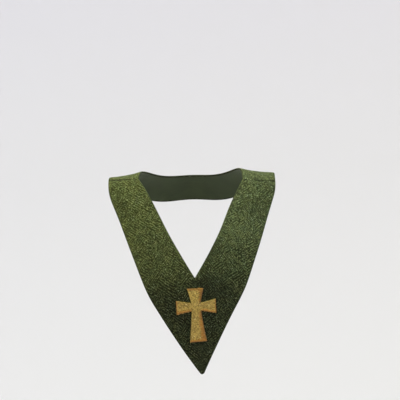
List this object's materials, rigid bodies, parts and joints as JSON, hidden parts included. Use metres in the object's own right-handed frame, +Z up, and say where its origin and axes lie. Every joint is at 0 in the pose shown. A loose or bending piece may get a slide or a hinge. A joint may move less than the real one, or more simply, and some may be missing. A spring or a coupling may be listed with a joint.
{
  "type": "liturgical scapular",
  "caption": "Stiff V-shaped liturgical scapular collar worn on the shoulders, with a pointed front, a rounded back band and a flared cross.",
  "frame": {"origin": "midway between the two straps, on the crest of the shoulders that carry them", "axes": "+Z up, -Y the way the front faces, +X to the right of someone who faces the front"},
  "size_m": [0.272, 0.2381, 0.3162],
  "materials": {
    "green_jacquard": "matt woven jacquard with fine lighter flecks",
    "gold_embroidery": "dense fill stitch in satin thread with a darker edge"
  },
  "bodies": {
    "root": {"front_panel": "green_jacquard", "back_band": "green_jacquard", "cross": "gold_embroidery"}
  },
  "joints": []
}
